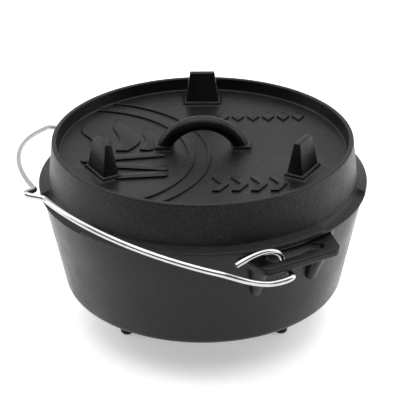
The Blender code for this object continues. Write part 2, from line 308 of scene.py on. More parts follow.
def stack(name: str, levels: Sequence[Corner], corner_r: float) -> bpy.types.Object:
    """Build a block level by level: a rounded plane is extruded and resized at each height.

    Args:
        name: The object's name.
        levels: Each level's height, X size and Y size, from the bottom up.
        corner_r: The upright corners' radius at the bottom.

    Returns:
        The closed block, standing on the origin's Z axis.
    """
    deselect_all()
    low, size_x, size_y = levels[0]
    bpy.ops.mesh.primitive_plane_add(size=1.0, location=(0, 0, low))
    ob = bpy.context.object
    ob.name = name
    ob.scale = (size_x, size_y, 1.0)
    bpy.ops.object.transform_apply(location=True, rotation=True, scale=True)
    with editing(ob):
        bpy.ops.mesh.select_all(action="SELECT")
        bpy.ops.mesh.bevel(offset=corner_r, segments=3, affect="VERTICES")
        for (z0, x0, y0), (z1, x1, y1) in zip(levels, levels[1:]):
            bpy.ops.mesh.extrude_region_move(TRANSFORM_OT_translate={"value": (0, 0, z1 - z0)})
            bpy.ops.transform.resize(value=(x1 / x0, y1 / y0, 1.0), center_override=(0, 0, z1))
        bpy.ops.mesh.select_all(action="SELECT")
        bpy.ops.mesh.normals_make_consistent(inside=False)
    return ob


def change(target: bpy.types.Object, tool: bpy.types.Object, how: Join) -> None:
    """Join, cut or trim a body with another, which is used up.

    Args:
        target: The body that changes.
        tool: The body that changes it.
        how: The kind of change.
    """
    boolean = target.modifiers.new(how.name.lower(), "BOOLEAN")
    boolean.operation = how.value
    boolean.object = tool
    boolean.solver = "EXACT"
    activate(target)
    bpy.ops.object.modifier_apply(modifier=boolean.name)
    bpy.data.objects.remove(tool, do_unlink=True)


def bar_along(name: str, route: Sequence[Vector], radius: float, sides: int) -> bpy.types.Object:
    """Run a round bar along a route and close its ends.

    Args:
        name: The object's name.
        route: The centre line.
        radius: The bar's radius.
        sides: The bar's sides.

    Returns:
        The bar as a mesh at the origin.
    """
    curve = bpy.data.curves.new(name, "CURVE")
    curve.dimensions = "3D"
    curve.bevel_depth = radius
    curve.bevel_resolution = sides // 4
    curve.use_fill_caps = True
    spline = curve.splines.new("POLY")
    spline.points.add(len(route) - 1)
    for slot, point in zip(spline.points, route):
        slot.co = (*point, 1.0)
    ob = bpy.data.objects.new(name, curve)
    bpy.context.scene.collection.objects.link(ob)
    activate(ob)
    bpy.ops.object.convert(target="MESH")
    ob = bpy.context.object
    with editing(ob):
        bpy.ops.mesh.select_all(action="SELECT")
        bpy.ops.mesh.remove_doubles(threshold=WELD)
        bpy.ops.mesh.normals_make_consistent(inside=False)
    return ob


def smooth(ob: bpy.types.Object, degrees: float = 32) -> None:
    """Shade an object smooth and keep its sharp edges.

    Args:
        ob: The object to shade.
        degrees: The angle above which an edge stays sharp.
    """
    activate(ob)
    bpy.ops.object.shade_smooth_by_angle(angle=math.radians(degrees))


# ---------------------------------------------------------------- finishes


class Graph:
    """A material's node tree with short calls for adding and joining nodes."""

    def __init__(self, name: str) -> None:
        """Start a Principled material.

        Args:
            name: The material's name.
        """
        self.material = bpy.data.materials.new(name)
        self.material.use_nodes = True
        self.tree = self.material.node_tree
        self.shader = self.tree.nodes["Principled BSDF"]
        self.coords = self.add("ShaderNodeTexCoord")

    def add(self, kind: str, **values: object) -> bpy.types.Node:
        """Add a node and set its attributes or its named inputs.

        Args:
            kind: The node's type.
            values: Attributes, or inputs named with underscores for spaces.

        Returns:
            The new node.
        """
        node = self.tree.nodes.new(kind)
        for key, value in values.items():
            label = key.replace("_", " ")
            if label in node.inputs:
                node.inputs[label].default_value = value
            else:
                setattr(node, key, value)
        return node

    def link(self, out: bpy.types.NodeSocket, into: bpy.types.NodeSocket) -> None:
        """Join two sockets."""
        self.tree.links.new(out, into)

    def noise(self, scale: float, detail: float = 3.0, roughness: float = 0.55) -> bpy.types.NodeSocket:
        """Add a noise on Object coordinates.

        Args:
            scale: Features per metre.
            detail: Octaves.
            roughness: The octaves' falloff.

        Returns:
            The noise's value socket.
        """
        node = self.add("ShaderNodeTexNoise", Scale=scale, Detail=detail, Roughness=roughness)
        self.link(self.coords.outputs["Object"], node.inputs["Vector"])
        return node.outputs["Fac"]

    def ramp(self, value: bpy.types.NodeSocket, stops: Sequence[ColourStop]) -> bpy.types.NodeSocket:
        """Map a value through a colour ramp.

        Args:
            value: The value to map.
            stops: Places and colours.

        Returns:
            The colour socket.
        """
        node = self.add("ShaderNodeValToRGB")
        first, last = node.color_ramp.elements
        first.position, first.color = stops[0][0], (*stops[0][1], 1.0)
        last.position, last.color = stops[-1][0], (*stops[-1][1], 1.0)
        for position, colour in stops[1:-1]:
            node.color_ramp.elements.new(position).color = (*colour, 1.0)
        self.link(value, node.inputs["Fac"])
        return node.outputs["Color"]

    def span(self, value: bpy.types.NodeSocket, low: float, high: float) -> bpy.types.NodeSocket:
        """Map a noise's middle range onto low to high."""
        node = self.add("ShaderNodeMapRange", From_Min=0.3, From_Max=0.7, To_Min=low, To_Max=high)
        self.link(value, node.inputs["Value"])
        return node.outputs["Result"]

    def bump(self, height: bpy.types.NodeSocket, strength: float, distance: float,
             under: bpy.types.NodeSocket | None = None) -> bpy.types.NodeSocket:
        """Add a bump, over another if one is given.

        Args:
            height: The height's socket.
            strength: The bump's strength.
            distance: The bump's depth in metres.
            under: A bump's normal that this one adds to.

        Returns:
            The normal's socket.
        """
        node = self.add("ShaderNodeBump", Strength=strength, Distance=distance)
        self.link(height, node.inputs["Height"])
        if under is not None:
            self.link(under, node.inputs["Normal"])
        return node.outputs["Normal"]


@dataclass(frozen=True)
class SeasonedIron:
    """Black seasoned sand casting: pebbled skin, oil-baked sheen, dull patches and painted glints on the
    lid's skirt.

    Attributes:
        name: The material's name.
        dark: The colour in the pits.
        light: The colour on the high grains.
        rough: The lowest and highest roughness.
        grain_per_m: Sand grains per metre.
        grain_depth: The skin's relief in metres.
        skirt_depth: The skirt's relief in metres.
        painted_glint_colour: The colour of the painted glints, highlights painted on the skirt's brightest
            grains.
        gloss: The specular level.
        skirt_from_r: The radii over which the skirt's coarser skin and its painted glints set in.
        skirt_from_z: The heights over which they set in.
    """

    name: str
    dark: Colour = (0.0014, 0.0014, 0.0016)
    light: Colour = (0.0062, 0.0062, 0.0066)
    rough: Point2 = (0.24, 0.40)
    grain_per_m: float = 620.0
    grain_depth: float = 0.34 * MM
    skirt_depth: float = 0.95 * MM
    painted_glint_colour: Colour = (0.020, 0.0195, 0.0185)
    gloss: float = 0.21
    skirt_from_r: Point2 = (125.5 * MM, 127.5 * MM)
    skirt_from_z: Point2 = (94.0 * MM, 99.0 * MM)

    def skirt_mask(self, g: Graph) -> bpy.types.NodeSocket:
        """Mask the lid's skirt, whose skin is coarser than the rest and on which glints are painted.

        Args:
            g: The material's graph.

        Returns:
            A value of 1 on the skirt and 0 elsewhere.
        """
        flat = g.add("ShaderNodeVectorMath", operation="MULTIPLY")
        flat.inputs[1].default_value = (1, 1, 0)
        g.link(g.coords.outputs["Object"], flat.inputs[0])
        radius = g.add("ShaderNodeVectorMath", operation="LENGTH")
        g.link(flat.outputs["Vector"], radius.inputs[0])
        spot = g.add("ShaderNodeSeparateXYZ")
        g.link(g.coords.outputs["Object"], spot.inputs["Vector"])
        product = g.add("ShaderNodeMath", operation="MULTIPLY")
        ranges = ((radius.outputs["Value"], self.skirt_from_r), (spot.outputs["Z"], self.skirt_from_z))
        for i, (value, (low, high)) in enumerate(ranges):
            step = g.add("ShaderNodeMapRange", From_Min=low, From_Max=high)
            g.link(value, step.inputs["Value"])
            g.link(step.outputs["Result"], product.inputs[i])
        return product.outputs["Value"]

    def make(self) -> bpy.types.Material:
        """Build the material."""
        g = Graph(self.name)
        grain = g.noise(self.grain_per_m, detail=4.0, roughness=0.62)
        pits = g.noise(self.grain_per_m * 0.42, detail=2.0)
        cloud = g.noise(28.0, detail=3.0)
        coarse_skin_and_glint_mask = self.skirt_mask(g)
        tone = g.ramp(grain, [(0.36, self.dark), (0.68, self.light)])
        # Painted glints: a thresholded fine noise lifts rare skirt grains from the dark colour to a
        # brighter base colour, as highlights painted where light would sparkle.
        painted_glint_noise = g.noise(self.grain_per_m * 1.3, detail=2.0)
        painted_glint = g.ramp(painted_glint_noise, [(0.50, self.dark), (0.70, self.painted_glint_colour)])
        # On the skirt the base colour is the painted glints; elsewhere it is the grain's own tone.
        blend = g.add("ShaderNodeMix", data_type="RGBA")
        g.link(coarse_skin_and_glint_mask, blend.inputs["Factor"])
        g.link(tone, blend.inputs[6])
        g.link(painted_glint, blend.inputs[7])
        g.link(blend.outputs[2], g.shader.inputs["Base Color"])
        g.link(g.span(cloud, *self.rough), g.shader.inputs["Roughness"])
        ripple = g.bump(pits, 0.45, self.grain_depth * 1.2)
        fine = g.bump(grain, 1.0, self.skirt_depth, ripple)
        elsewhere = 0.75 * self.grain_depth / self.skirt_depth
        strength = g.add("ShaderNodeMapRange", To_Min=elsewhere, To_Max=1.0)
        g.link(coarse_skin_and_glint_mask, strength.inputs["Value"])
        g.link(strength.outputs["Result"], fine.node.inputs["Strength"])
        g.link(fine, g.shader.inputs["Normal"])
        g.shader.inputs["Specular IOR Level"].default_value = self.gloss
        return g.material


@dataclass(frozen=True)
class DrawnWire:
    """Bright drawn stainless wire with fine lengthwise scuffs.

    Attributes:
        name: The material's name.
        colour: The metal's colour.
        rough: The lowest and highest roughness.
    """

    name: str
    colour: Colour = (0.50, 0.50, 0.51)
    rough: Point2 = (0.14, 0.26)

    def make(self) -> bpy.types.Material:
        """Build the material."""
        g = Graph(self.name)
        g.shader.inputs["Metallic"].default_value = 1.0
        dull = tuple(c * 0.86 for c in self.colour)
        haze = g.noise(90.0, detail=4.0)
        g.link(g.ramp(haze, [(0.35, dull), (0.65, self.colour)]), g.shader.inputs["Base Color"])
        g.link(g.span(haze, *self.rough), g.shader.inputs["Roughness"])
        g.link(g.bump(g.noise(1800.0, detail=2.0), 0.10, 0.05 * MM), g.shader.inputs["Normal"])
        return g.material


# ---------------------------------------------------------------- sub-assemblies


def hand_over(ob: bpy.types.Object, body: Body, finish: bpy.types.Material) -> bpy.types.Object:
    """Finish a piece: give it its material and the body it rides on.

    Args:
        ob: The finished piece, with its place in its mesh.
        body: The body it moves with.
        finish: Its material.

    Returns:
        The same piece.
    """
    ob.data.materials.clear()
    ob.data.materials.append(finish)
    smooth(ob)
    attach(ob, body.value)
    LOG.info("%s rides on %s with %d faces", ob.name, body.value, len(ob.data.polygons))
    return ob


@dataclass
class PotCasting:
    """The vessel with its ears, gussets and legs, cast as one.

    Attributes:
        finish: The iron's material.
    """

    finish: bpy.types.Material
    bottom_r: float = 119.4 * MM
    flare: float = 17.1 / 86.6
    rim_z: float = 91.0 * MM
    wall: float = 5.0 * MM
    wall_rings: Point2 = (60 * MM, 30 * MM)
    floor_round: float = 12 * MM
    foot_round: float = 7.0 * MM
    rim_soft: float = 1.0 * MM
    sides: int = 256
    ear_top: float = 89.6 * MM
    ear_t: float = 6.5 * MM
    ear_soft: float = 1.3 * MM
    ear_out: float = 157.5 * MM
    ear_half: float = 35.5 * MM
    tip_round: float = 9 * MM
    neck: Point2 = (131.5 * MM, 42.5 * MM)
    neck_round: float = 7 * MM
    root_r: float = 134.0 * MM
    root_half: float = 52.0 * MM
    slot_x: Point2 = (138.8 * MM, 149.2 * MM)
    slot_half: float = 25.5 * MM
    slot_ease: float = 0.1 * MM
    slot_reach: Point2 = (60 * MM, 0.9 * MM)
    slot_flare: tuple[Point2, ...] = ((0.6 * MM, 0.3 * MM), (0.32 * MM, 0.5 * MM), (6 * MM, 0.6 * MM))
    leg_ring: float = 77.0 * MM
    leg_azimuths: tuple[int, ...] = (30, 150, 270)
    gusset_azimuth: float = 11.5

    def wall_r(self, z: float) -> float:
        """Give the outer radius at a height."""
        return self.bottom_r + self.flare * z

    def vessel(self) -> bpy.types.Object:
        """Turn the vessel: floor, inner wall, rim and outer wall."""
        corners = [
            (0, self.wall, 0),
            (self.wall_r(self.wall) - self.wall, self.wall, self.floor_round),
            (self.wall_r(self.rim_z) - self.wall, self.rim_z, self.rim_soft),
            (self.wall_r(self.rim_z), self.rim_z, self.rim_soft),
            *((self.wall_r(z), z, 0) for z in self.wall_rings),
            (self.bottom_r, 0, self.foot_round),
            (0, 0, 0),
        ]
        return turn_profile("pot_casting", [tuple(p) for p in rounded(corners)], self.sides)

    def ear(self, side: int) -> bpy.types.Object:
        """Make one ear plate with soft rims.

        Args:
            side: 1 for the +X ear and -1 for the other.

        Returns:
            The plate, rooted inside the wall.
        """
        root_x = math.sqrt(self.root_r ** 2 - self.root_half ** 2)
        corners = [
            (root_x, -self.root_half, 0),
            (self.neck[0], -self.neck[1], self.neck_round),
            (self.ear_out, -self.ear_half, self.tip_round),
            (self.ear_out, self.ear_half, self.tip_round),
            (self.neck[0], self.neck[1], self.neck_round),
            (root_x, self.root_half, 0),
        ]
        back = [Vector((self.root_r * math.cos(math.radians(a)), self.root_r * math.sin(math.radians(a))))
                for a in range(20, -21, -5)]
        outline = [p * side for p in rounded(corners) + back]
        return raise_outline("ear", outline, self.ear_top - self.ear_t, self.ear_top, self.ear_soft, 3)

    def slot_cutter(self, side: int) -> bpy.types.Object:
        """Make the round-ended cutter of one ear's slot, waisted so that the slot's rims are soft.

        Args:
            side: 1 for the +X ear and -1 for the other.

        Returns:
            The cutter.
        """
        near, far = self.slot_x
        radius = (far - near) / 2 - self.slot_ease
        corners = [(near, -self.slot_half, radius), (far, -self.slot_half, radius),
                   (far, self.slot_half, radius), (near, self.slot_half, radius)]
        outline = [p * side for p in rounded(corners, closed=True)]
        low, high = (self.ear_top - reach for reach in self.slot_reach)
        cutter = raise_outline("slot", outline, low, high, 0)
        middle = Vector(((near + far) / 2 * side, 0, self.ear_top))
        with editing(cutter):
            select_faces(cutter, lambda f: f.normal.z > 0.9)
            for rise, spread in self.slot_flare:
                grow = (1 + spread / radius * 0.5, 1 + spread / self.slot_half, 1)
                bpy.ops.mesh.extrude_region_move(TRANSFORM_OT_translate={"value": (0, 0, rise)})
                bpy.ops.transform.resize(value=grow, center_override=middle)
        return cutter

    def gusset(self, side: int, sign: int) -> bpy.types.Object:
        """Turn one tapered rib under an ear, round at its lower end.

        Args:
            side: 1 for the +X ear and -1 for the other.
            sign: Which of the ear's two ribs.

        Returns:
            The rib in its place.
        """
        tip_z, tip_r, top_r = 54 * MM, 4.6 * MM, 8.4 * MM
        rings = (130.8 * MM, 141.2 * MM)
        length = self.ear_top - self.ear_t / 2 - tip_z
        tip = [(tip_r * math.sin(math.radians(a)), -tip_r * math.cos(math.radians(a)))
               for a in (78, 60, 40, 20, 0)]
        rib = turn_profile("gusset", [(0, length), (top_r, length), *tip], 40)
        lean = math.atan2(rings[1] - rings[0], length)
        azimuth = math.radians(self.gusset_azimuth * sign + (0 if side > 0 else 180))
        spot = Vector((rings[0] * math.cos(azimuth), rings[0] * math.sin(azimuth), tip_z))
        return place(rib, Matrix.Translation(spot) @ Matrix.Rotation(azimuth, 4, "Z")
                     @ Matrix.Rotation(lean, 4, "Y"))

    def leg(self, azimuth: int) -> bpy.types.Object:
        """Turn one tapered leg with a fillet at its root and a worn round tip.

        Args:
            azimuth: The leg's direction in degrees.

        Returns:
            The leg in its place.
        """
        height = -POT_LOW.z
        corners = [(0, 2 * MM, 0), (13.0 * MM, 2 * MM, 0), (12.6 * MM, -0.05 * MM, 0),
                   (8.9 * MM, -2.6 * MM, 3.0 * MM), (5.6 * MM, -height, 2.2 * MM), (0, -height, 0)]
        leg = turn_profile("leg", [tuple(p) for p in rounded(corners)], 40)
        turn = math.radians(azimuth)
        return place(leg, Matrix.Translation((self.leg_ring * math.cos(turn),
                                              self.leg_ring * math.sin(turn), 0)))

    def build(self) -> bpy.types.Object:
        """Cast the pot: join every part of it into one body."""
        pot = self.vessel()
        for side in (1, -1):
            change(pot, self.ear(side), Join.UNION)
            for sign in (1, -1):
                change(pot, self.gusset(side, sign), Join.UNION)
            change(pot, self.slot_cutter(side), Join.CUT)
        for azimuth in self.leg_azimuths:
            change(pot, self.leg(azimuth), Join.UNION)
        hand_over(pot, Body.POT, self.finish)
        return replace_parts(pot, "pot")


@dataclass
class LidCasting:
    """The lid with its stepped flange, legs and bar handle, cast as one.

    Attributes:
        finish: The iron's material.
    """

    finish: bpy.types.Material
    rim_top: float = 132.6 * MM
    rim_r: Point2 = (123.0 * MM, 127.0 * MM)
    plate_z: float = 121.6 * MM
    plate_r: float = 121.4 * MM
    plate_t: float = 5 * MM
    skirt_bend: Point2 = (129 * MM, 115 * MM)
    skirt_foot: Point2 = (130.9 * MM, 98.4 * MM)
    flange_r: float = 139.5 * MM
    flange_top: float = 95.7 * MM
    seat_z: float = 91.3 * MM
    lip_z: float = 93.3 * MM
    ring_r: Point2 = (125.0 * MM, 130.0 * MM)
    ring_low: float = 87.5 * MM
    sides: int = 720
    gap_half: float = 15.5
    gap_soft: float = 0.5
    leg_azimuths: tuple[int, ...] = (30, 150, 270)
    leg_ring: float = 94.0 * MM
    handle_azimuth: float = 60.0
    handle_half: float = 33.0 * MM
    handle_crown: float = 144.1 * MM
    handle_bar: float = 6.3 * MM
    handle_sunk: float = 2 * MM
    handle_chords: int = 48
    same_spot: float = 0.02 * MM

    def raised_top(self) -> list[Vector]:
        """Section of the flange's top where it is raised: crisp step, slope and rolled edge."""
        foot = Vector(self.skirt_foot)
        edge = Vector((self.flange_r, self.flange_top))
        arc = corner_arc(foot, edge, Vector((self.flange_r, self.seat_z)), 0.9 * MM, 3)
        slope = [foot.lerp(arc[0], t) for t in (0, 0.06, 0.2, 0.4, 0.6, 0.8)]
        return slope + arc

    def dipped_top(self) -> list[Vector]:
        """Section of the flange's top beside a leg: a hollow fillet down to a thin lip."""
        start = Vector((self.skirt_foot[0] + 0.1 * MM, self.skirt_foot[1] - 0.1 * MM))
        end = Vector((self.flange_r - 0.9 * MM, self.lip_z))
        bend = Vector((start.x + 1.3 * MM, self.lip_z + 0.2 * MM))
        hollow = [start.lerp(bend, t).lerp(bend.lerp(end, t), t)
                  for t in (0, 0.15, 0.35, 0.55, 0.75, 1)]
        rim = [Vector((self.flange_r - 0.5 * MM, self.lip_z - 0.1 * MM)),
               Vector((self.flange_r - 0.2 * MM, self.lip_z - 0.3 * MM)),
               Vector((self.flange_r - 0.05 * MM, self.lip_z - 0.6 * MM)),
               Vector((self.flange_r, self.lip_z - 1.0 * MM))]
        return hollow + rim

    def section(self) -> list[Point2]:
        """Section of the lid: tray, rim, skirt, flange, locating ring and underside."""
        under = self.plate_z - self.plate_t
        tray = rounded([(0, self.plate_z, 0), (60 * MM, self.plate_z, 0),
                        (self.plate_r, self.plate_z, 1.6 * MM), (self.rim_r[0], self.rim_top, 1.3 * MM),
                        (self.rim_r[1], self.rim_top, 1.5 * MM), (*self.skirt_bend, 0),
                        (*self.skirt_foot, 0)])
        inner, outer = self.ring_r
        below = rounded([(self.flange_r, self.flange_top, 0), (self.flange_r, self.seat_z, 0.8 * MM),
                         (outer, self.seat_z, 0.4 * MM), (outer - 0.8 * MM, self.ring_low, 0.6 * MM),
                         (inner, self.ring_low, 0.6 * MM), (self.plate_r - 1 * MM, under, 8 * MM),
                         (0, under, 0)])
        return [tuple(p) for p in tray[:-1] + self.raised_top() + below[1:]]

    def gap_share(self, degrees: float) -> float:
        """Give 1 beside a leg, 0 on a raised arc, and a steep step between.

        Args:
            degrees: The azimuth.

        Returns:
            How far the flange has dipped.
        """
        off = min(abs((degrees - a + 180) % 360 - 180) for a in self.leg_azimuths)
        step = (self.gap_half + self.gap_soft / 2 - off) / self.gap_soft
        return max(0.0, min(1.0, step))

    def shell(self) -> bpy.types.Object:
        """Turn the lid and lower its flange beside each leg."""
        lid = turn_profile("lid_casting", self.section(), self.sides)
        raised, dipped = self.raised_top(), self.dipped_top()
        for vert in lid.data.vertices:
            share = self.gap_share(math.degrees(math.atan2(vert.co.y, vert.co.x)))
            radius = math.hypot(vert.co.x, vert.co.y)
            here = Vector((radius, vert.co.z))
            near = min(range(len(raised)), key=lambda i: (raised[i] - here).length)
            if share > 0 and (raised[near] - here).length < self.same_spot:
                there = here.lerp(dipped[near], share)
                vert.co = (vert.co.x * there.x / radius, vert.co.y * there.x / radius, there.y)
        return lid

    def leg(self, azimuth: int) -> bpy.types.Object:
        """Raise one wedge leg from a filleted plinth.

        Args:
            azimuth: The leg's direction in degrees.

        Returns:
            The leg in its place.
        """
        top = LID_HIGH.z - self.plate_z
        levels = [(-1.5, 20.5, 35.5), (-0.02, 20.5, 35.5), (0.25, 19.0, 34.0), (0.8, 18.0, 33.0),
                  (1.6, 17.4, 32.4), (2.4, 17.0, 32.0), (2.8, 16.4, 31.4), (3.0, 15.4, 30.4),
                  (3.3, 14.3, 29.2), (3.9, 13.7, 28.7)]
        raised = [(z * MM, x * MM, y * MM) for z, x, y in levels]
        crown = [(top - 1.0 * MM, 5.9 * MM, 22.0 * MM), (top - 0.35 * MM, 5.4 * MM, 21.5 * MM),
                 (top - 0.02 * MM, 4.2 * MM, 20.3 * MM)]
        leg = stack("lid_leg", raised + crown, 0.9 * MM)
        turn = Matrix.Rotation(math.radians(azimuth), 4, "Z")
        return place(leg, turn @ Matrix.Translation((self.leg_ring, 0, self.plate_z)))

    def handle(self) -> bpy.types.Object:
        """Bend the bar handle over one arc and set a filleted pad under each foot."""
        rise = self.handle_crown - self.plate_z
        arc_r = (self.handle_half ** 2 + rise ** 2) / (2 * rise)
        centre = self.handle_crown - arc_r
        start = math.asin((self.plate_z - self.handle_sunk - centre) / arc_r)
        turns = [start + (math.pi - 2 * start) * i / self.handle_chords
                 for i in range(self.handle_chords + 1)]
        route = [Vector((arc_r * math.cos(t), 0, centre + arc_r * math.sin(t))) for t in turns]
        bar = bar_along("handle_bar", route, self.handle_bar, 32)
        for side in (1, -1):
            levels = [(-1.5, 19.0, 17.5), (-0.02, 19.0, 17.5), (0.3, 17.6, 16.1), (1.0, 16.8, 15.2),
                      (2.4, 16.0, 14.6), (3.1, 15.2, 13.8), (3.4, 13.8, 12.4)]
            pad = stack("pad", [(z * MM, x * MM, y * MM) for z, x, y in levels], 3.0 * MM)
            place(pad, Matrix.Translation((self.handle_half * side, 0, self.plate_z)))
            change(bar, pad, Join.UNION)
        return place(bar, Matrix.Rotation(math.radians(self.handle_azimuth), 4, "Z"))

    def build(self) -> bpy.types.Object:
        """Cast the lid: join the shell and its legs, and set the handle's feet into the plate."""
        lid = self.shell()
        for azimuth in self.leg_azimuths:
            change(lid, self.leg(azimuth), Join.UNION)
        handle = hand_over(self.handle(), Body.LID, self.finish)
        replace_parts(handle, "lid_handle")
        hand_over(lid, Body.LID, self.finish)
        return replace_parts(lid, "lid")


@dataclass
class LidRelief:
    """Plain raised ornament on the lid's tray: a ring, flames, a row of lozenges and chevrons.

    Attributes:
        finish: The iron's material.
        turn: The ornament's azimuth, which the handle shares.
    """

    finish: bpy.types.Material
    turn: float = 60.0
    plate_z: float = 121.6 * MM
    sunk: float = 0.6 * MM
    height: float = 1.5 * MM
    clip_r: float = 119.4 * MM
    ring_centre: Point2 = (-104.0 * MM, -16.0 * MM)
    ring_bands: tuple[Point2, ...] = ((91.0 * MM, 98.0 * MM), (108.0 * MM, 111.5 * MM))

    def settle(self, ob: bpy.types.Object) -> bpy.types.Object:
        """Turn one ornament into place and hand it over."""
        place(ob, Matrix.Rotation(math.radians(self.turn), 4, "Z"))
        return hand_over(ob, Body.LID, self.finish)

    def raised(self, name: str, outline: Sequence[Vector], edge: float = 0.45 * MM) -> bpy.types.Object:
        """Raise one outline from just under the plate's face."""
        return raise_outline(name, outline, self.plate_z - self.sunk, self.plate_z + self.height,
                             edge, 2, soften_low=False)

    def clip(self, ob: bpy.types.Object) -> None:
        """Trim an ornament to the tray's round floor."""
        deselect_all()
        bpy.ops.mesh.primitive_cylinder_add(vertices=160, radius=self.clip_r, depth=20 * MM,
                                            location=(0, 0, self.plate_z))
        change(ob, bpy.context.object, Join.KEEP_COMMON)

    def band(self, index: int, radii: Point2) -> bpy.types.Object:
        """Raise one round band and trim it to the tray.

        Args:
            index: The band's number, for its name.
            radii: Its inner and outer radius.

        Returns:
            The finished band.
        """
        low, high = self.plate_z - self.sunk, self.plate_z + self.height
        inner, outer = radii
        soft = 0.4 * MM
        section = [(inner, low), (inner, high - soft), (inner + soft, high), (outer - soft, high),
                   (outer, high - soft), (outer, low), (inner, low)]
        band = turn_profile(f"lid_relief_band_{index}", section, 180)
        place(band, Matrix.Translation((*self.ring_centre, 0)))
        self.clip(band)
        return self.settle(band)

    def tongue(self, foot: Point2, height: float, width: float, lean: float) -> list[Vector]:
        """Draw one flame: a drop with a swayed tip.

        Args:
            foot: The middle of its root.
            height: Its length.
            width: Its greatest width.
            lean: Its direction in degrees from +Y.

        Returns:
            The flame's outline.
        """
        left, right = [], []
        for i in range(13):
            t = i / 12
            half = width / 2 * math.sin(math.pi * min(1.0, 0.16 + 0.84 * t)) ** 0.8 if i < 12 else 0.05 * MM
            sway = width * 0.35 * math.sin(math.pi * 1.6 * t)
            left.append(Vector((sway - half, height * t)))
            right.append(Vector((sway + half, height * t)))
        spin = Matrix.Rotation(math.radians(lean), 2)
        return [spin @ p + Vector(foot) for p in left + right[::-1]]

    def flames(self) -> None:
        """Raise a fan of flames inside the ring, over plain slanted logs."""
        fan = (((-68, -8), 64, 18, 0), ((-87, -5), 50, 15, 14), ((-49, -7), 44, 15, -10))
        for i, (foot, height, width, lean) in enumerate(fan):
            spot = (foot[0] * MM, foot[1] * MM)
            flame = self.raised(f"lid_relief_flame_{i}", self.tongue(spot, height * MM, width * MM, lean))
            self.clip(flame)
            self.settle(flame)
        logs = (((-66, -20), 36, 9), ((-62, -37), 34, -8), ((-52, -54), 24, 6))
        for i, (middle, half, slant) in enumerate(logs):
            log = [(-half, -4.6, 4), (half, -4.6, 4), (half, 4.6, 4), (-half, 4.6, 4)]
            outline = rounded([(x * MM, y * MM, r * MM) for x, y, r in log], closed=True, steps=4)
            spin = Matrix.Rotation(math.radians(slant), 2)
            moved = [spin @ p + Vector(middle) * MM for p in outline]
            self.settle(self.raised(f"lid_relief_log_{i}", moved))

    def row(self, name: str, shape: Sequence[Point2], first: Point2, step: float, count: int) -> None:
        """Raise a straight row of one shape.

        Args:
            name: The pieces' name.
            shape: The outline about its own middle, in millimetres.
            first: The first one's middle, in millimetres.
            step: The distance between two, in millimetres.
            count: How many there are.
        """
        for i in range(count):
            outline = [Vector((first[0] + step * i + x, first[1] + y)) * MM for x, y in shape]
            self.settle(self.raised(f"lid_relief_{name}_{i}", outline))

    def borders(self) -> None:
        """Raise plain lozenges behind the handle and plain chevrons before it."""
        lozenge = ((-5.6, 0), (0, -8.6), (5.6, 0), (0, 8.6))
        chevron = ((-7, -12), (-0.5, -12), (7, 0), (-0.5, 12), (-7, 12), (0.5, 0))
        self.row("lozenge", lozenge, (18.0, 60.0), 13.2, 6)
        self.row("chevron", chevron, (14.0, -71.0), 15.6, 4)

    def build(self) -> None:
        """Raise the whole ornament."""
        for index, radii in enumerate(self.ring_bands):
            self.band(index, radii)
        self.flames()
        self.borders()


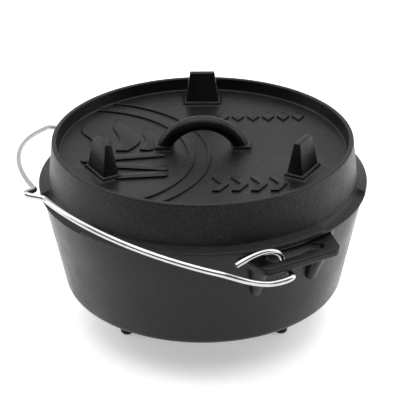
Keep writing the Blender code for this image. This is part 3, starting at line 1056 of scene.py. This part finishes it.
@dataclass
class WireBail:
    """The bail: one bent wire with a hook at each end and a notch at its middle.

    Attributes:
        finish: The wire's material.
    """

    finish: bpy.types.Material
    wire_r: float = 2.42 * MM
    rise: float = math.radians(15)
    arc_r: float = 185.4 * MM
    arc_back: float = 40.4 * MM
    arm_x: float = 154.0 * MM
    notch_depth: float = 16.0 * MM
    notch_half: float = 9.0 * MM
    notch_round: float = 4.0 * MM
    notch_ease: float = 5.0 * MM
    hook: tuple[Corner, ...] = (
        (145.4, -43.5, 14.6), (145.0, -32.5, 17.3), (144.4, -21.0, 18.4), (144.0, -10.5, 17.2),
        (143.7, -3.6, 13.3), (143.7, -0.6, 8.4), (144.1, 0.0, 4.2), (145.8, 0.0, 1.2),
        (149.2, 0.0, 0.0), (153.4, 0.0, 0.0), (157.6, 0.0, 0.0), (160.9, -1.4, 0.0),
        (162.2, -5.0, -0.2), (162.4, -12.0, -0.4), (162.1, -22.0, 0.6), (161.5, -34.0, 4.4),
        (160.0, -46.0, 9.8),
    )

    def eased(self, points: Sequence[Vector], per_span: int) -> list[Vector]:
        """Pass a Catmull-Rom curve through points.

        Args:
            points: The points that the wire passes.
            per_span: Steps between each two points.

        Returns:
            The smooth route.
        """
        ends = [points[0] * 2 - points[1], *points, points[-1] * 2 - points[-2]]
        route = []
        for i in range(1, len(ends) - 2):
            a, b, c, d = ends[i - 1:i + 3]
            for step in range(per_span):
                t = step / per_span
                route.append(0.5 * (2 * b + (c - a) * t + (2 * a - 5 * b + 4 * c - d) * t ** 2
                                    + (3 * b - a - 3 * c + d) * t ** 3))
        return route + [points[-1]]

    def half_route(self) -> list[Vector]:
        """Route from the right hook's end to the notch's tip, from the hinge axis."""
        first = math.acos(self.arm_x / self.arc_r)
        notch_edge = self.notch_half + self.notch_ease
        last = math.acos(notch_edge / self.arc_r)
        turns = [first + (last - first) * i / 16 for i in range(17)]
        flat = [(self.arc_r * math.cos(t), self.arc_r * math.sin(t) - self.arc_back) for t in turns]
        crown = self.arc_r - self.arc_back - 0.6 * MM
        notch = rounded([(notch_edge, crown, 0), (self.notch_half, crown, self.notch_round),
                         (0, crown + self.notch_depth + 0.6 * MM, self.notch_round),
                         (-self.notch_half, crown, 0)])
        tip = max(p[1] for p in notch)
        flat += [tuple(p) for p in notch if p[0] > TINY][1:] + [(0.0, tip)]
        arc = [Vector((x, -r * math.cos(self.rise), r * math.sin(self.rise))) for x, r in flat]
        return self.eased([Vector(p) * MM for p in self.hook] + arc[:3], 6) + arc[3:]

    def build(self) -> bpy.types.Object:
        """Bend the wire and round its cut ends."""
        side = self.half_route()
        whole = side + [Vector((-p.x, p.y, p.z)) for p in reversed(side[:-1])]
        wire = bar_along("bail_wire", [p + BAIL_AXIS for p in whole], self.wire_r, 24)
        with editing(wire):
            select_faces(wire, lambda f: len(f.verts) > 4)
            bpy.ops.mesh.bevel(offset=0.5 * MM, segments=2, affect="EDGES")
        hand_over(wire, Body.BAIL, self.finish)
        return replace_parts(wire, "bail")


# ---------------------------------------------------------------- studio


@dataclass
class Studio:
    """Pale floor, soft boxes and the camera.

    Attributes:
        floor_tint: The floor's colour.
        azimuth: The camera's direction in degrees, counterclockwise from -Y.
        camera_at: The camera's place.
        aim: The point that it looks at.
        focal_mm: Its focal length.
        roll: Its turn about its own axis.
        room: The room's brightness behind the object and before it.
        room_blend: The cosines to the camera's direction between which one fades to the other.
        table_glow: The floor's own light.
        floor_size: The floor's side.
        floor_gap: How far the floor lies under the legs' tips.
        light_aim: The point that every soft box faces.
        boxes: Each soft box's name, bearing, height, reach, size and power.
    """

    floor_tint: Colour = (0.92, 0.92, 0.92)
    azimuth: float = 60.0
    camera_at: Corner = (1.0195, -0.5886, 0.6841)
    aim: Corner = (-0.0013, -0.0023, 0.0711)
    focal_mm: float = 138.8
    roll: float = math.radians(-0.47)
    room: Point2 = (0.90, 0.04)
    room_blend: Point2 = (-0.7, 0.75)
    table_glow: float = 0.40
    floor_size: float = 12.0
    floor_gap: float = 0.0002
    light_aim: Corner = (0, 0, 0.06)
    boxes: tuple[SoftBox, ...] = (
        ("top_box", 180, 2.3, 0.5, (3.2, 2.4), 42),
        ("front_top_box", 0, 2.3, 0.8, (3.0, 2.0), 36),
        ("left_box", -100, 0.9, 1.7, (0.9, 1.5), 10),
        ("right_box", 96, 0.9, 1.7, (0.9, 1.5), 12),
    )

    def floor(self) -> None:
        """Lay a wide pale floor under the legs' tips."""
        deselect_all()
        level = CAD_BOX[0].z - self.floor_gap
        bpy.ops.mesh.primitive_plane_add(size=self.floor_size, location=(0, 0, level))
        floor = bpy.context.object
        floor.name = "floor"
        g = Graph("pale_floor")
        g.shader.inputs["Base Color"].default_value = (*self.floor_tint, 1.0)
        g.shader.inputs["Roughness"].default_value = 0.85
        g.shader.inputs["Emission Color"].default_value = (1, 1, 1, 1)
        g.shader.inputs["Emission Strength"].default_value = self.table_glow
        floor.data.materials.append(g.material)

    def soft_box(self, name: str, bearing: float, height: float, reach: float, size: Point2,
                 watts: float) -> None:
        """Hang one soft box that faces the object.

        Args:
            name: The light's name.
            bearing: Degrees from the camera's own direction, counterclockwise.
            height: Its height.
            reach: Its distance along the floor.
            size: Its width and height.
            watts: Its power.
        """
        turn = math.radians(self.azimuth - 90 + bearing)
        spot = Vector((reach * math.cos(turn), reach * math.sin(turn), height))
        bpy.ops.object.light_add(type="AREA", location=spot)
        light = bpy.context.object
        light.name = name
        light.data.shape = "RECTANGLE"
        light.data.size, light.data.size_y = size
        light.data.energy = watts
        light.rotation_euler = (Vector(self.light_aim) - spot).to_track_quat("-Z", "Y").to_euler()

    def lights(self) -> None:
        """Hang the soft boxes and set a room that is bright behind the object and dim before it."""
        for box in self.boxes:
            self.soft_box(*box)
        world = bpy.data.worlds.new("studio")
        world.use_nodes = True
        tree = world.node_tree
        background = tree.nodes["Background"]
        background.inputs["Color"].default_value = (1, 1, 1, 1)
        coords = tree.nodes.new("ShaderNodeTexCoord")
        dot = tree.nodes.new("ShaderNodeVectorMath")
        dot.operation = "DOT_PRODUCT"
        turn = math.radians(self.azimuth - 90)
        dot.inputs[1].default_value = (math.cos(turn), math.sin(turn), 0)
        spread = tree.nodes.new("ShaderNodeMapRange")
        values = (*self.room_blend, *self.room)
        for name, value in zip(("From Min", "From Max", "To Min", "To Max"), values):
            spread.inputs[name].default_value = value
        spread.interpolation_type = "SMOOTHSTEP"
        tree.links.new(coords.outputs["Generated"], dot.inputs[0])
        tree.links.new(dot.outputs["Value"], spread.inputs["Value"])
        tree.links.new(spread.outputs["Result"], background.inputs["Strength"])
        bpy.context.scene.world = world
        bpy.context.scene.view_settings.view_transform = "Standard"

    def camera(self) -> None:
        """Set the camera."""
        data = bpy.data.cameras.new("camera")
        data.lens = self.focal_mm
        data.sensor_width = 36.0
        camera = bpy.data.objects.new("camera", data)
        bpy.context.scene.collection.objects.link(camera)
        look = (Vector(self.aim) - Vector(self.camera_at)).to_track_quat("-Z", "Y")
        camera.matrix_world = (Matrix.Translation(self.camera_at) @ look.to_matrix().to_4x4()
                               @ Matrix.Rotation(self.roll, 4, "Z"))
        bpy.context.scene.camera = camera

    def build(self) -> None:
        """Set up the whole studio."""
        self.floor()
        self.lights()
        self.camera()


def main() -> None:
    """Set up the studio, then build every sub-assembly in order; each piece is logged as it is done."""
    logging.basicConfig(level=logging.INFO, format="%(name)s: %(message)s")
    Studio().build()
    iron = SeasonedIron("seasoned_iron").make()
    wire = DrawnWire("drawn_wire").make()
    for assembly in (PotCasting(iron), LidCasting(iron), LidRelief(iron), WireBail(wire)):
        assembly.build()
        LOG.info("%s is built", type(assembly).__name__)


if __name__ == "__main__":
    main()
